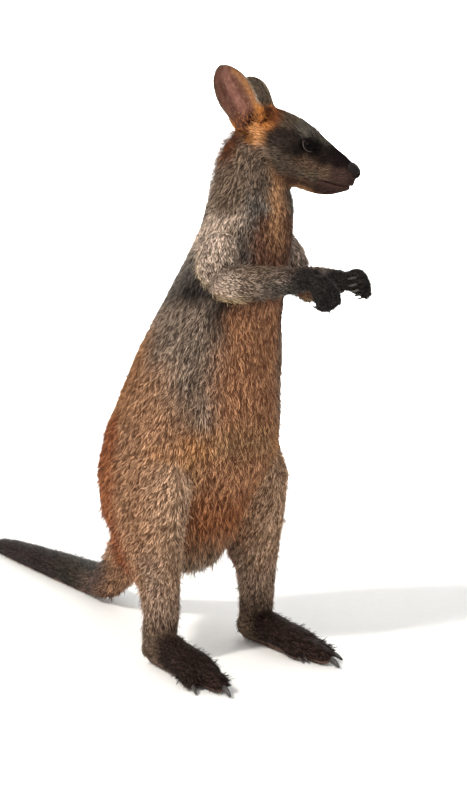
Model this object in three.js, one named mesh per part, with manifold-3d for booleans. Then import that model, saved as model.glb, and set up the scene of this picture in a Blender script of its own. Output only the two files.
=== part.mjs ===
// A life-size swamp wallaby (Wallabia bicolor), standing upright with its head turned to its left.
// Millimetres. It faces -Y, +X is its own left, +Z is up, and the floor is Z = 0.
// Every form is the outside of the coat, and the forms are parted from each other by thin cuts.
import * as THREE from "three";
import { mergeVertices } from "three/addons/utils/BufferGeometryUtils.js";
import Module from "manifold-3d";

const wasm = await Module();
wasm.setup();

// ---- driving dimensions ----
const GAP = 0.3; // between neighbouring pieces
const CHEST_CUT = 497; // heights where the trunk is parted
const HIP_CUT = 318;
const NECK_CUT = 622;
const KNEE_CUT = 205; // height of the cut below the knee, at the middle of the leg
const HEAD_CENTRE = new THREE.Vector3(23, -148, 725); // middle of the brain case
const HEAD_TURN = 35; // degrees to its left
const HEAD_NOD = 24; // degrees down
const EYE_RADIUS = 10.5;
const EAR_THICKNESS = 2.6;
const EAR_WIDEST = 0.5; // share of the length
const EAR_CUP = 0.2; // share of the length over which the root rounds out to a cup
const EAR_WRAP = [90, 54]; // degrees of arc on each side of the fold, at the root and from the widest on
const EAR_BEND = 5; // how far the leaf bows backwards
const FOOT_SINK = 1.2; // depth of sole and tail that the floor cuts flat
const RIGHT = { side: -1, kneeBack: 0, ankleBack: 0, shinOut: 0, footTurn: 10, heel: [-94, -11] };
const LEFT = { side: 1, kneeBack: -10, ankleBack: 21, shinOut: 5, footTurn: -4, heel: [94, 19] };

const RAD = Math.PI / 180;
const X = new THREE.Vector3(1, 0, 0);
const Y = new THREE.Vector3(0, 1, 0);
const Z = new THREE.Vector3(0, 0, 1);
const HERE = new THREE.Matrix4();

// ---- solids ----
function solid(geometry, mirrored = false) {
  const bare = new THREE.BufferGeometry();
  bare.setAttribute("position", geometry.getAttribute("position"));
  bare.setIndex(geometry.index);
  const merged = mergeVertices(bare, 1e-4);
  const corners = new Uint32Array(merged.index.array);
  if (mirrored) corners.reverse();
  const vertProperties = merged.attributes.position.array;
  return new wasm.Manifold(new wasm.Mesh({ numProp: 3, vertProperties, triVerts: corners }));
}

// Everything on one side of a plane: the side that the normal points to.
function sideOf(point, normal) {
  const reach = 3000;
  const block = new THREE.BoxGeometry(reach, reach, reach);
  block.translate(0, 0, reach / 2);
  block.applyQuaternion(new THREE.Quaternion().setFromUnitVectors(Z, normal.clone().normalize()));
  block.translate(point.x, point.y, point.z);
  return solid(block);
}

const aboveFloor = sideOf(new THREE.Vector3(0, 0, 0), Z);

// A ball drawn out along a smooth path. A station is [x, y, z, half width, half depth, egg], and the
// ring between stations is interpolated. The width runs along "across", the depth is square to it
// and to the path, and egg makes the ring wider on its deep side. Rings lie square to the path, or
// square to "facing" if that is given. blunt is the share of the path that each round end takes.
function loft({ stations, across = X, facing, sides = 20, rings = 14, blunt = [0.1, 0.1], frame = HERE }, grow = 0) {
  const middles = stations.map(([x, y, z]) => new THREE.Vector3(x, y, z));
  const sizes = stations.map(([, , , wide, deep, egg = 0]) => new THREE.Vector3(wide, deep, egg));
  const path = new THREE.CatmullRomCurve3(middles, false, "centripetal");
  const size = new THREE.CatmullRomCurve3(sizes, false, "centripetal");
  const ball = new THREE.SphereGeometry(1, sides, rings);
  const place = ball.getAttribute("position");
  const uv = ball.getAttribute("uv");
  for (let i = 0; i < place.count; i++) {
    const turn = 2 * Math.PI * uv.getX(i);
    const t = (1 - Math.cos(Math.PI * (1 - uv.getY(i)))) / 2;
    const nearEnd = Math.min(t / blunt[0], (1 - t) / blunt[1], 1);
    const swell = Math.sqrt(Math.max(0, 1 - (1 - nearEnd) ** 2));
    const along = (facing ?? path.getTangent(t)).clone().normalize();
    const wideWay = across.clone().addScaledVector(along, -across.dot(along)).normalize();
    const deepWay = wideWay.clone().cross(along);
    const { x: wide, y: deep, z: egg } = size.getPoint(t);
    const [c, s] = [Math.cos(turn), Math.sin(turn)];
    const at = path.getPoint(t);
    at.addScaledVector(wideWay, c * swell * (wide + grow) * (1 + egg * s));
    at.addScaledVector(deepWay, s * swell * (deep + grow));
    at.addScaledVector(along, grow * (t > 0.5 ? 1 : -1) * (1 - swell));
    at.applyMatrix4(frame);
    place.setXYZ(i, at.x, at.y, at.z);
  }
  return solid(ball);
}

// A form that can be asked for at its own size or a little grown, to cut a gap round it.
const form = (options) => (grow) => loft(options, grow);
const join = (...forms) => (grow) => forms.map((f) => f(grow)).reduce((a, b) => a.add(b));
const onFloor = (f) => (grow) => f(grow).intersect(aboveFloor);

// ---- trunk and neck ----
const trunk = form({
  stations: [
    [0, 46, 104, 40, 50],
    [0, 50, 140, 62, 78],
    [0, 49, 180, 80, 98],
    [0, 42, 224, 94, 114],
    [0, 22, 272, 107, 131],
    [0, 6, 322, 113, 132],
    [0, -6, 372, 110, 125],
    [0, -24, 425, 98, 110],
    [0, -43, 474, 85, 97],
    [0, -67, 522, 73, 89],
    [0, -91, 566, 65, 81],
    [0, -108, 606, 58, 72],
    [0, -117, 638, 54, 66],
    [2, -114, 670, 49, 58],
    [6, -112, 704, 43, 53],
    [11, -112, 746, 34, 42],
  ],
  facing: Z,
  sides: 20,
  rings: 23,
  blunt: [0.05, 0.06],
});

// ---- head: its own frame has x to its left, -y ahead along the muzzle, z square to the muzzle ----
const headFrame = new THREE.Matrix4()
  .makeTranslation(HEAD_CENTRE)
  .multiply(new THREE.Matrix4().makeRotationZ(HEAD_TURN * RAD))
  .multiply(new THREE.Matrix4().makeRotationX(HEAD_NOD * RAD));

// Each row is [distance ahead, top of the profile, bottom of the profile, half width, egg].
const HEAD_ROWS = [
  [-42, 20, -22, 20, 0],
  [-30, 34, -32, 31, 0],
  [-8, 39, -42, 36, 0],
  [16, 39.5, -50, 38, 0.03],
  [40, 35.5, -50, 35.5, 0.05],
  [58, 29, -48, 28.5, 0.1],
  [80, 22.5, -44.5, 22, 0.14],
  [97, 18.5, -37.5, 18.5, 0.1],
  [108, 14, -29, 15.5, 0],
  [119, 7, -19, 11, 0],
];
const head = form({
  stations: HEAD_ROWS.map(([ahead, top, bottom, wide, egg]) => [
    0, -ahead, (top + bottom) / 2, wide, (top - bottom) / 2, egg,
  ]),
  facing: Y.clone().negate(),
  sides: 20,
  rings: 15,
  blunt: [0.12, 0.05],
  frame: headFrame,
});

const nose = form({
  stations: [
    [0, -106, 8, 7, 6],
    [0, -114, 6, 10, 8.5],
    [0, -121, 2, 8, 7.5],
  ],
  facing: Y.clone().negate(),
  sides: 12,
  rings: 6,
  blunt: [0.3, 0.4],
  frame: headFrame,
});

function eye(side) {
  return (grow) => {
    const ball = new THREE.SphereGeometry(EYE_RADIUS + grow, 10, 7);
    ball.translate(side * 23.5, -47, 13);
    ball.applyMatrix4(headFrame);
    return solid(ball);
  };
}

// The mouth closes on a plane that runs back from the lips to the angle of the jaw.
const LIPS = new THREE.Vector3(0, -118, -16);
const JAW_DOWN = new THREE.Vector3(0, 0.12, -1);
const JAW_ANGLE = new THREE.Vector3(0, -22, -40);

function lowerJaw(grow) {
  const under = LIPS.clone().addScaledVector(JAW_DOWN, -grow).applyMatrix4(headFrame);
  const front = JAW_ANGLE.clone().addScaledVector(Y, grow).applyMatrix4(headFrame);
  return head(grow)
    .intersect(sideOf(under, JAW_DOWN.clone().transformDirection(headFrame)))
    .intersect(sideOf(front, new THREE.Vector3(0, -1, -0.35).transformDirection(headFrame)));
}

// An ear is a rolled leaf: across, it is an arc whose opening narrows to a tube at its root. It is made
// as the right ear, in the head's frame, and mirrored for the left one.
const EARS = {
  right: { root: [-25, 30, 1], tip: [-42, 103, 61], open: [-0.93, -0.37, 0.05], halfArc: 31 },
  left: { root: [-25, 28, 1], tip: [-58, 89, 50], open: [-0.93, -0.37, 0.05], halfArc: 27 },
};

// The half arc is half of the widest stretch of skin from rim to rim. These are its shares at u.
function earBreadth(u) {
  if (u > EAR_WIDEST) return Math.sqrt(1 - ((u - EAR_WIDEST) / (1 - EAR_WIDEST)) ** 2.3);
  const rootRound = Math.sqrt(1 - (1 - Math.min(1, u / EAR_CUP)) ** 2);
  return rootRound * (1 - 0.1 * ((EAR_WIDEST - u) / EAR_WIDEST) ** 2);
}

function ear(name) {
  const mirrored = name === "left";
  const place3 = mirrored ? headFrame.clone().multiply(new THREE.Matrix4().makeScale(-1, 1, 1)) : headFrame;
  const root = new THREE.Vector3(...EARS[name].root);
  const stem = new THREE.Vector3(...EARS[name].tip).sub(root);
  const length = stem.length();
  stem.normalize();
  const open = new THREE.Vector3(...EARS[name].open);
  open.addScaledVector(stem, -open.dot(stem)).normalize();
  const toFront = stem.clone().cross(open);
  return (grow) => {
    const ball = new THREE.SphereGeometry(1, 20, 9);
    const place = ball.getAttribute("position");
    const uv = ball.getAttribute("uv");
    for (let i = 0; i < place.count; i++) {
      const u = (1 - Math.cos(Math.PI * (1 - uv.getY(i)))) / 2;
      const turn = 2 * uv.getX(i);
      const v = turn < 1 ? 2 * turn - 1 : 3 - 2 * turn;
      const wrap = (EAR_WRAP[0] + (EAR_WRAP[1] - EAR_WRAP[0]) * Math.min(1, u / EAR_WIDEST)) * RAD;
      const radius = (EARS[name].halfArc * earBreadth(u)) / wrap;
      const thick = Math.min(EAR_THICKNESS / 2, 0.4 * radius) + (radius > 0 ? grow : 0);
      const wall = thick * Math.sqrt(1 - v ** 4);
      const from = radius > 0 ? radius + (turn < 1 ? 1 : -1) * wall : 0;
      const angle = v * (wrap + grow / Math.max(radius, 1));
      const bend = -EAR_BEND * Math.sin(Math.PI * u);
      const at = root.clone().addScaledVector(stem, length * u);
      at.addScaledVector(toFront, from * Math.sin(angle));
      at.addScaledVector(open, radius - from * Math.cos(angle) + bend);
      at.applyMatrix4(place3);
      place.setXYZ(i, at.x, at.y, at.z);
    }
    return solid(ball, mirrored);
  };
}

// ---- arms ----
const arms = {
  right: { shoulder: [-45, -108, 600], elbow: [-82, -146, 534], wrist: [-40, -294, 550] },
  left: { shoulder: [43, -96, 602], elbow: [80, -128, 524], wrist: [45, -254, 541] },
};

function upperArm({ shoulder, elbow }) {
  const middle = shoulder.map((s, i) => (s + elbow[i]) / 2);
  return form({
    stations: [
      [...shoulder, 30, 33],
      [...middle, 29, 34],
      [...elbow, 26, 31],
    ],
    sides: 10,
    rings: 6,
    blunt: [0.4, 0.4],
  });
}

function forearm({ elbow, wrist }) {
  const at = (t) => elbow.map((e, i) => e + (wrist[i] - e) * t);
  return form({
    stations: [
      [...at(-0.06), 24, 28],
      [...at(0.3), 22.5, 25.5],
      [...at(0.65), 18.5, 20.5],
      [...at(1), 14.5, 15.5],
      [...at(1.1), 12.5, 12],
    ],
    sides: 10,
    rings: 7,
    blunt: [0.15, 0.12],
  });
}

// A claw: a curved horn from its root to its tip.
function claw(root, bend, tip, thick, frame = HERE) {
  return form({
    stations: [
      [...root, thick, thick * 1.15],
      [...bend, thick * 0.75, thick],
      [...tip, thick * 0.25, thick * 0.3],
    ],
    sides: 5,
    rings: 4,
    blunt: [0.15, 0.15],
    frame,
  });
}

// A hand's own frame has its wrist at the origin, its knuckles ahead at -y, its palm below and x to
// the animal's left. The fingers curl down and back.
const HANDS = {
  right: { wrist: [-38, -304, 549], pitch: 52, roll: -6, yaw: 14, curl: 0.95 },
  left: { wrist: [46, -265, 542], pitch: 2, roll: 60, yaw: 2, curl: 1 },
};
const FINGERS = [-16, -8, 0, 8, 15.5]; // sideways places of the five knuckles
const KNUCKLE = 26; // ahead of the wrist
const FINGER_LENGTH = [14, 19, 21, 19, 14];
const FINGER_CURL = [35, 95, 140, 165]; // degrees from straight ahead, joint by joint and then along the claw
const CLAW_STEP = 5.2; // half of a finger claw's length

function handFrame({ wrist, pitch, roll, yaw }) {
  return new THREE.Matrix4()
    .makeTranslation(...wrist)
    .multiply(new THREE.Matrix4().makeRotationZ(yaw * RAD))
    .multiply(new THREE.Matrix4().makeRotationX(pitch * RAD))
    .multiply(new THREE.Matrix4().makeRotationY(roll * RAD));
}

function palm(hand) {
  return form({
    stations: [
      [0, 6, 0, 13, 12],
      [0, -6, 0, 15, 12.5],
      [0, -18, 0, 20, 13.5],
      [0, -30, -1, 22, 12.5],
      [0, -39, -4, 17, 9],
    ],
    facing: Y.clone().negate(),
    sides: 10,
    rings: 6,
    blunt: [0.1, 0.15],
    frame: handFrame(hand),
  });
}

// The points of a finger and of its claw, at angles of curl from straight ahead.
function fingerPoints({ curl }, k) {
  const points = [[FINGERS[k], -KNUCKLE, 0]];
  const step = FINGER_LENGTH[k] / 2;
  for (const angle of FINGER_CURL) {
    const [x, y, z] = points.at(-1);
    const reach = points.length > 2 ? CLAW_STEP : step;
    points.push([x, y - reach * Math.cos(angle * curl * RAD), z - reach * Math.sin(angle * curl * RAD)]);
  }
  return points;
}

function finger(hand, k) {
  const [knuckle, middle, tip] = fingerPoints(hand, k);
  return form({
    stations: [
      [...knuckle, 6.8, 9],
      [...middle, 6, 7.6],
      [...tip, 4.8, 5.4],
    ],
    sides: 6,
    rings: 4,
    blunt: [0.2, 0.25],
    frame: handFrame(hand),
  });
}

function fingerClaw(hand, k) {
  const [, , tip, bend, end] = fingerPoints(hand, k);
  return claw(tip, bend, end, 2.1, handFrame(hand));
}

// ---- legs ----
// Each row is [outwards, back, height, half width, half depth], from the ankle up to the hip.
const LEG_ROWS = [
  [94, -29, 14, 21, 24],
  [94, -31, 34, 24, 26],
  [93, -35, 62, 25, 26],
  [92, -31, 96, 27, 30],
  [89, -15, 132, 32, 46],
  [86, 11, 170, 37, 73],
  [83, 21, 214, 40, 95],
  [81, 20, 262, 41, 101],
  [78, 27, 308, 38, 86],
  [74, 30, 344, 33, 64],
  [68, 34, 374, 20, 34],
];

function leg({ side, kneeBack, ankleBack, shinOut }) {
  const back = (z) => kneeBack + (ankleBack - kneeBack) * Math.min(1, Math.max(0, (205 - z) / 115));
  const outBy = (z) => shinOut * Math.max(0, 1 - Math.abs(z - 150) / 90);
  return form({
    stations: LEG_ROWS.map(([out, y, z, wide, deep]) => [side * (out + outBy(z)), y + back(z), z, wide, deep]),
    facing: Z,
    sides: 14,
    rings: 13,
    blunt: [0.08, 0.12],
  });
}

// A foot's own frame has its heel at the origin, its toes ahead at -y, and x to its outer side.
function footFrame({ side, footTurn, heel }) {
  return new THREE.Matrix4()
    .makeTranslation(heel[0], heel[1], -FOOT_SINK)
    .multiply(new THREE.Matrix4().makeRotationZ(side * footTurn * RAD));
}

const TOES = [
  // [name, root, tip, half width and height at the root and at the tip]
  ["fourth", [-1, -138, 19], [-2, -220, 12], 20, 18, 14, 11.5],
  ["fifth", [17, -130, 16], [27, -184, 10], 13, 14, 9.5, 9],
  ["third", [-16, -126, 15], [-21, -178, 9], 10.5, 12, 8, 7.5],
];

function foot(limb) {
  const frame = footFrame(limb);
  const sole = form({
    stations: [
      [0, -2, 20, 17, 17],
      [0, -18, 25, 23, 25],
      [0, -46, 27, 26, 27],
      [0, -84, 23.5, 26, 23.5],
      [0, -120, 21, 28.5, 21],
      [0, -148, 18, 29.5, 18],
      [0, -170, 14, 22, 13],
    ],
    facing: Y.clone().negate(),
    sides: 12,
    rings: 8,
    blunt: [0.12, 0.12],
    frame,
  });
  const toes = TOES.map(([, root, tip, wideRoot, tallRoot, wideTip, tallTip]) =>
    form({
      stations: [
        [limb.side * root[0], root[1], root[2], wideRoot, tallRoot],
        [limb.side * tip[0], tip[1], tip[2], wideTip, tallTip],
      ],
      sides: 7,
      rings: 4,
      blunt: [0.2, 0.25],
      frame,
    }),
  );
  return onFloor(join(sole, ...toes));
}

// [name, root, bend, tip, thickness] in the foot's frame; the two combed toes have a claw each.
const TOE_CLAWS = [
  ["fourth", [-1, -218, 12], [-1, -229, 9], [-1, -239, 3.5], 5.5],
  ["fifth", [27, -182, 10], [29, -191, 8], [31, -199, 3.5], 4.2],
  ["third", [-18, -176, 10], [-18.5, -183, 8], [-19, -190, 3.5], 2.6],
  ["second", [-23.5, -173, 9], [-24.5, -179, 7.5], [-25.5, -186, 3.5], 2.6],
];

function toeClaw(limb, [, root, bend, tip, thick]) {
  const own = ([x, y, z]) => [limb.side * x, y, z];
  return onFloor(claw(own(root), own(bend), own(tip), thick, footFrame(limb)));
}

// ---- tail ----
const tailStations = [
  [2, 92, 232, 42, 46],
  [10, 142, 184, 39, 41],
  [26, 200, 122, 34, 36],
  [44, 256, 68, 30, 31],
  [60, 312, 36, 29, 28.5],
  [79, 384, 26.5, 27, 26.5],
  [95, 492, 23.5, 25, 23.5],
  [114, 616, 19.5, 21, 19.5],
  [129, 706, 15.5, 17, 15.5],
  [138, 752, 11, 11, 10.5],
];
const tail = onFloor(
  form({
    stations: tailStations.map(([x, y, z, wide, deep]) => [x, y, z - FOOT_SINK, wide, deep]),
    sides: 12,
    rings: 15,
    blunt: [0.05, 0.02],
  }),
);

// ---- the pieces, each cut clear of those listed before it ----
const group = new THREE.Group();
group.name = "wallaby";
const taken = [];

function add(name, shape, region, material) {
  let made = shape(0);
  for (const part of region) made = made.intersect(part);
  const box = made.boundingBox();
  const near = taken.filter((other) =>
    [0, 1, 2].every((k) => other.box.min[k] < box.max[k] + 2 && other.box.max[k] > box.min[k] - 2),
  );
  for (const other of new Set(near.map((piece) => piece.shape))) {
    if (other !== shape) made = made.subtract(other(GAP));
  }
  made = made.decompose().sort((a, b) => b.volume() - a.volume())[0];
  taken.push({ shape, box: made.boundingBox() });
  const mesh = made.getMesh();
  const geometry = new THREE.BufferGeometry();
  geometry.setAttribute("position", new THREE.BufferAttribute(mesh.vertProperties, 3));
  geometry.setIndex(new THREE.BufferAttribute(mesh.triVerts, 1));
  const piece = new THREE.Mesh(geometry, material);
  piece.name = name;
  group.add(piece);
}

const coat = (colour) => new THREE.MeshStandardMaterial({ color: colour, roughness: 0.9, metalness: 0 });
const greyCoat = coat(0x6b6259);
const brownCoat = coat(0x8a5a36);
const darkCoat = coat(0x2e2823);
const wetBlack = new THREE.MeshStandardMaterial({ color: 0x120f0e, roughness: 0.15, metalness: 0 });
const horn = new THREE.MeshStandardMaterial({ color: 0x4a4640, roughness: 0.4, metalness: 0 });
const leather = new THREE.MeshStandardMaterial({ color: 0x1d1818, roughness: 0.5, metalness: 0 });

for (const [name, side] of [["right", -1], ["left", 1]]) add(`eye_${name}`, eye(side), [], wetBlack);
add("nose", nose, [], leather);
add("lower_jaw", lowerJaw, [], greyCoat);
add("head", head, [], greyCoat);
for (const name of ["right", "left"]) add(`ear_${name}`, ear(name), [], darkCoat);
for (const [name, limb] of [["right", RIGHT], ["left", LEFT]]) {
  const wholeLeg = leg(limb);
  const cut = new THREE.Vector3(0, 0, KNEE_CUT);
  const tilt = new THREE.Vector3(0, -0.35, 1).normalize();
  for (const toe of TOE_CLAWS) add(`claw_${toe[0]}_toe_${name}`, toeClaw(limb, toe), [], horn);
  add(`foot_${name}`, foot(limb), [], darkCoat);
  add(`thigh_${name}`, wholeLeg, [sideOf(cut, tilt)], brownCoat);
  add(`shank_${name}`, wholeLeg, [sideOf(cut.clone().addScaledVector(tilt, -GAP), tilt.clone().negate())], greyCoat);
  const hand = HANDS[name];
  const fingers = FINGERS.map((_, k) => finger(hand, k));
  for (const k of FINGERS.keys()) add(`claw_finger_${k + 1}_${name}`, fingerClaw(hand, k), [], horn);
  add(`hand_${name}`, join(palm(hand), ...fingers), [], darkCoat);
  add(`forearm_${name}`, forearm(arms[name]), [], greyCoat);
  add(`upper_arm_${name}`, upperArm(arms[name]), [], greyCoat);
}
const slices = [
  ["hips", 0, HIP_CUT, brownCoat],
  ["belly", HIP_CUT + GAP, CHEST_CUT, brownCoat],
  ["chest", CHEST_CUT + GAP, NECK_CUT, greyCoat],
  ["neck", NECK_CUT + GAP, 900, greyCoat],
];
for (const [name, low, high, material] of slices) {
  const floor = sideOf(new THREE.Vector3(0, 0, low), Z);
  const roof = sideOf(new THREE.Vector3(0, 0, high), Z.clone().negate());
  add(name, trunk, [floor, roof], material);
}
add("tail_root", tail, [sideOf(new THREE.Vector3(72, 345, 0), new THREE.Vector3(-0.25, -1, 0))], brownCoat);
add("tail_tip", tail, [sideOf(new THREE.Vector3(72, 345 + GAP, 0), new THREE.Vector3(0.25, 1, 0))], darkCoat);

// The origin is the middle of the floor under the whole animal.
const bounds = new THREE.Box3().setFromObject(group);
const middle = bounds.getCenter(new THREE.Vector3());
group.position.set(-middle.x, -middle.y, -bounds.min.z);
group.updateMatrixWorld(true);

export default group;
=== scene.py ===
import math

import bmesh
import bpy
import numpy as np
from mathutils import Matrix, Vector
from mathutils.bvhtree import BVHTree


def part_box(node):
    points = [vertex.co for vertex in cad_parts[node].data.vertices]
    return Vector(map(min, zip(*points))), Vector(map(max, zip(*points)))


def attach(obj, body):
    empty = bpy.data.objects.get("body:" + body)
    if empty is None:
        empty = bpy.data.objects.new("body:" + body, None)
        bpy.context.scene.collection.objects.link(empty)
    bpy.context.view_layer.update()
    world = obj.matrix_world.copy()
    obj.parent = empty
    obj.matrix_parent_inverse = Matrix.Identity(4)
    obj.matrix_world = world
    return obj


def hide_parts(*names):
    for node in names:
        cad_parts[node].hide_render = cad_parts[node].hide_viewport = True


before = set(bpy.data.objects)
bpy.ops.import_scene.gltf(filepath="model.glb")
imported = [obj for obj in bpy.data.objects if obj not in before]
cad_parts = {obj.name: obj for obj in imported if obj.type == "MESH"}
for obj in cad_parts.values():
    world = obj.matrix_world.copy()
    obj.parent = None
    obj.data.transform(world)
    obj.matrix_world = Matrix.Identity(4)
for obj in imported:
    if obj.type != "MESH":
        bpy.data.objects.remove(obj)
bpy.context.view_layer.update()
random = np.random.default_rng(41)


def toLinear(hexColour):  # an sRGB hex colour as linear light
    c = np.array([int(hexColour[i : i + 2], 16) for i in (1, 3, 5)]) / 255
    return np.where(c <= 0.04045, c / 12.92, ((c + 0.055) / 1.055) ** 2.4)


def unit(v):
    return v / np.maximum(np.linalg.norm(v, axis=-1, keepdims=True), 1e-12)


def smoothStep(low, high, x):
    t = np.clip((x - low) / (high - low), 0, 1)
    return t * t * (3 - 2 * t)


# Frames of the body and of the head.
headPlace = dict(centre=(23, -148, 725), turn=35, nod=24)  # mm and degrees: to its left, and down
eyePlace = dict(out=21.4, ahead=47, up=13, radius=10.5)
eyeAt = np.array([eyePlace["out"], eyePlace["ahead"], eyePlace["up"]])


def headAxes():  # the columns are the head's left, back and up, turned about z and then about its own x
    a, b = math.radians(headPlace["turn"]), math.radians(headPlace["nod"])
    turn = np.array([[math.cos(a), -math.sin(a), 0], [math.sin(a), math.cos(a), 0], [0, 0, 1]])
    nod = np.array([[1, 0, 0], [0, math.cos(b), -math.sin(b)], [0, math.sin(b), math.cos(b)]])
    return turn @ nod


headTurned = headAxes()


def headToBody(points):
    return np.asarray(points, float) @ headTurned.T + headPlace["centre"]


def middleOf(node):
    low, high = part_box(node)
    return (np.array(low) + np.array(high)) / 2


eyesMiddle = headToBody([0, -eyePlace["ahead"], eyePlace["up"]])
bodyShift = eyesMiddle - 500 * (middleOf("eye_left") + middleOf("eye_right"))


def onBody(points):  # body millimetres to the model's metres
    return (np.asarray(points, float) - bodyShift) / 1000


def inBody(points):  # the model's metres to body millimetres
    return np.asarray(points, float) * 1000 + bodyShift


def inHead(body):  # body millimetres to the head's own: x to its left, y back, z up
    return (body - headPlace["centre"]) @ headTurned


def toHead(points):  # the model's metres to head millimetres
    return inHead(inBody(points))


def fromHead(head):  # head millimetres to the model's metres
    return onBody(headToBody(head))


def outAheadUp(head):  # head millimetres as the distance out to either side, ahead and up
    return np.stack([np.abs(head[:, 0]), -head[:, 1], head[:, 2]], 1)


def eyeOn(side):  # the middle of one eye in head millimetres
    return eyeAt * [1 if side == "left" else -1, -1, 1]


# Materials.
def addNode(tree, kind, settings=None, **links):  # links name sockets; i0 and i1 are the first and second
    node = tree.nodes.new(kind)
    for key, value in (settings or {}).items():
        if key in node.inputs.keys():
            node.inputs[key].default_value = value
        else:
            setattr(node, key, value)
    for key, source in links.items():
        tree.links.new(source, node.inputs[int(key[1]) if key in ("i0", "i1") else key.replace("_", " ")])
    return node


def newMaterial(name, **settings):
    material = bpy.data.materials.new(name)
    material.use_nodes = True
    tree = material.node_tree
    tree.nodes.clear()
    output = tree.nodes.new("ShaderNodeOutputMaterial")
    shader = tree.nodes.new("ShaderNodeBsdfPrincipled")
    tree.links.new(shader.outputs["BSDF"], output.inputs["Surface"])
    for key, value in settings.items():
        shader.inputs[key.replace("_", " ")].default_value = value
    return material, tree, shader


def colourOf(hexColour):
    return (*toLinear(hexColour), 1)


def ownColour(tree):  # the colour that the mesh carries at each point
    return addNode(tree, "ShaderNodeAttribute", {"attribute_name": "coat"}).outputs["Color"]


def placeIn(tree):  # patterns lie in the object's own metres, so a scale of 1000 is one to a millimetre
    return addNode(tree, "ShaderNodeTexCoord").outputs["Object"]


def noise(tree, place, scale, detail):
    return addNode(tree, "ShaderNodeTexNoise", {"Scale": scale, "Detail": detail}, Vector=place).outputs["Fac"]


def paint(tree, shader, colour):
    tree.links.new(colour, shader.inputs["Base Color"])


def dapple(tree, shader, pattern, low, high, darkest, lightest):  # the mesh's own colour, scaled by a pattern
    limits = {"From Min": low, "From Max": high, "To Min": darkest, "To Max": lightest}
    shade = addNode(tree, "ShaderNodeMapRange", limits, Value=pattern)
    scaled = addNode(tree, "ShaderNodeVectorMath", {"operation": "SCALE"}, i0=ownColour(tree),
                     Scale=shade.outputs["Result"])
    paint(tree, shader, scaled.outputs["Vector"])


def twoTone(tree, shader, pattern, *stops):  # each stop is (place, colour)
    ramp = addNode(tree, "ShaderNodeValToRGB", Fac=pattern)
    for element, (position, hexColour) in zip(ramp.color_ramp.elements, stops):
        element.position, element.color = position, colourOf(hexColour)
    paint(tree, shader, ramp.outputs["Color"])


def roughen(tree, shader, height, strength, distance):  # distance in metres
    relief = addNode(tree, "ShaderNodeBump", {"Strength": strength, "Distance": distance}, Height=height)
    tree.links.new(relief.outputs["Normal"], shader.inputs["Normal"])


# Guard hair: keratin strands, matt along the coat with a faint soft sheen where they turn to the light.
def furMaterial():
    material, tree, shader = newMaterial("guard_hair", Roughness=0.6, Specular_IOR_Level=0.1, Sheen_Weight=0.02,
                                         Sheen_Roughness=0.5)
    dapple(tree, shader, noise(tree, placeIn(tree), 900.0, 1.0), 0.3, 0.7, 0.86, 1.14)
    return material


# Skin and the short dense hair on it: matt, with the fine lie of the hair as bump.
def skinMaterial():
    material, tree, shader = newMaterial("haired_skin", Roughness=0.7, Specular_IOR_Level=0.04)
    place = placeIn(tree)
    hair = noise(tree, place, 1100.0, 2.0)
    both = addNode(tree, "ShaderNodeMath", {"operation": "MULTIPLY"}, i0=hair,
                   i1=noise(tree, place, 160.0, 3.0))
    dapple(tree, shader, both.outputs["Value"], 0.1, 0.4, 0.72, 1.3)
    roughen(tree, shader, hair, 0.5, 0.0006)
    return material


# Nose leather: bare, moist and finely pebbled, near black with a soft broad gloss.
def noseMaterial():
    material, tree, shader = newMaterial("nose_leather", Roughness=0.45, Specular_IOR_Level=0.1)
    pebble = addNode(tree, "ShaderNodeTexVoronoi", {"Scale": 1100.0}, Vector=placeIn(tree))
    paint(tree, shader, ownColour(tree))
    roughen(tree, shader, pebble.outputs["Distance"], 0.6, 0.0004)
    return material


# Cornea: wet and smooth over a very dark brown iris, so that it mirrors the light sharply but faintly.
def eyeMaterial():
    material, tree, shader = newMaterial("wet_eye", Roughness=0.08, Specular_IOR_Level=0.05)
    paint(tree, shader, ownColour(tree))
    return material


# Claw horn: keratin worn smooth, dark grey with paler streaks.
def clawMaterial():
    material, tree, shader = newMaterial("claw_horn", Roughness=0.38, Specular_IOR_Level=0.5)
    streak = noise(tree, placeIn(tree), 420.0, 3.0)
    twoTone(tree, shader, streak, (0.35, "#1a1615"), (0.75, "#4d4742"))
    roughen(tree, shader, streak, 0.3, 0.0003)
    return material


furLook, skinLook, noseLook, eyeLook, clawLook = (
    furMaterial(), skinMaterial(), noseMaterial(), eyeMaterial(), clawMaterial())


# Making meshes.
def makeMesh(name, points, faces, material, colours=None, normals=None):
    # points in metres; faces as an array with three or four corners to a row
    faces = np.asarray(faces, np.int32)
    mesh = bpy.data.meshes.new(name)
    mesh.vertices.add(len(points))
    mesh.vertices.foreach_set("co", np.asarray(points, np.float32).ravel())
    mesh.loops.add(faces.size)
    mesh.loops.foreach_set("vertex_index", faces.ravel())
    mesh.polygons.add(len(faces))
    mesh.polygons.foreach_set("loop_start", np.arange(0, faces.size, faces.shape[1], dtype=np.int32))
    mesh.polygons.foreach_set("use_smooth", np.ones(len(faces), bool))
    mesh.update(calc_edges=True)
    if colours is not None:
        rgba = np.ones((len(points), 4), np.float32)
        rgba[:, :3] = colours
        mesh.color_attributes.new("coat", "FLOAT_COLOR", "POINT").data.foreach_set("color", rgba.ravel())
    if normals is not None:
        mesh.attributes.new("custom_normal", "FLOAT_VECTOR", "POINT").data.foreach_set(
            "vector", np.asarray(normals, np.float32).ravel())
    mesh.materials.append(material)
    piece = bpy.data.objects.new(name, mesh)
    bpy.context.scene.collection.objects.link(piece)
    return piece


def pointsOf(mesh):
    points = np.empty(len(mesh.vertices) * 3, np.float32)
    mesh.vertices.foreach_get("co", points)
    return points.reshape(-1, 3)


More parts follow.
